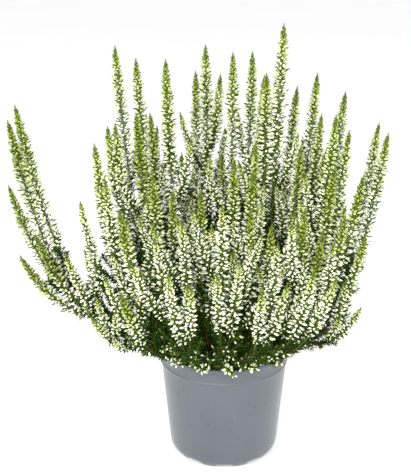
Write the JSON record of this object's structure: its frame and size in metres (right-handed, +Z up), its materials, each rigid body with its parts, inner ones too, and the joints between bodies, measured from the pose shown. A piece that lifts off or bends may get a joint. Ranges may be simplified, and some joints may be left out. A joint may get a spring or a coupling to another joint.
{
  "type": "potted heather",
  "caption": "Bud-blooming heather: upright flower spikes of closed cream-white buds with lime leafy tips, rooted in peat in a round tapered plastic nursery pot.",
  "frame": {"origin": "middle of the flat centre of the pot's base, on the surface that the pot stands on", "axes": "+Z up along the pot's axis, -Y towards the front of the plant, +X to the viewer's right, with the long low spray on the -X side"},
  "size_m": [0.3322, 0.2212, 0.392],
  "materials": {
    "pot_plastic": "satin grey polypropylene",
    "peat": "dark moist peat",
    "bark": "thin red-brown bark",
    "buds": "waxy cream-white buds with lime tips",
    "needles": "dull green needle leaves"
  },
  "bodies": {
    "root": {"pot": "pot_plastic", "soil": "peat", "woody_base": "bark", "flower_spray_01": "buds", "flower_spray_02": "buds", "flower_spray_03": "buds", "flower_spray_04": "buds", "flower_spray_05": "buds", "flower_spray_06": "buds", "flower_spray_07": "buds", "flower_spray_08": "buds", "flower_spray_09": "buds", "flower_spray_10": "buds", "flower_spray_11": "buds", "flower_spray_12": "buds", "flower_spray_13": "buds", "flower_spray_14": "buds", "flower_spray_15": "buds", "flower_spray_16": "buds", "flower_spray_17": "buds", "flower_spray_18": "buds", "flower_spray_19": "buds", "flower_spray_20": "buds", "flower_spray_21": "buds", "flower_spray_22": "buds", "flower_spray_23": "buds", "flower_spray_24": "buds", "flower_spray_25": "buds", "flower_spray_26": "buds", "flower_spray_27": "buds", "flower_spray_28": "buds", "flower_spray_29": "buds", "flower_spray_30": "buds", "flower_spray_31": "buds", "flower_spray_32": "buds", "flower_spray_33": "buds", "flower_spray_34": "buds", "flower_spray_35": "buds", "flower_spray_36": "buds", "flower_spray_37": "buds", "flower_spray_38": "buds", "flower_spray_39": "buds", "flower_spray_40": "buds", "flower_spray_41": "buds", "flower_spray_42": "buds", "flower_spray_43": "buds", "flower_spray_44": "buds", "flower_spray_45": "buds", "leafy_shoot_01": "needles", "leafy_shoot_02": "needles", "leafy_shoot_03": "needles", "leafy_shoot_04": "needles", "leafy_shoot_05": "needles", "leafy_shoot_06": "needles", "leafy_shoot_07": "needles", "leafy_shoot_08": "needles", "leafy_shoot_09": "needles", "leafy_shoot_10": "needles", "leafy_shoot_11": "needles", "leafy_shoot_12": "needles"}
  },
  "joints": []
}
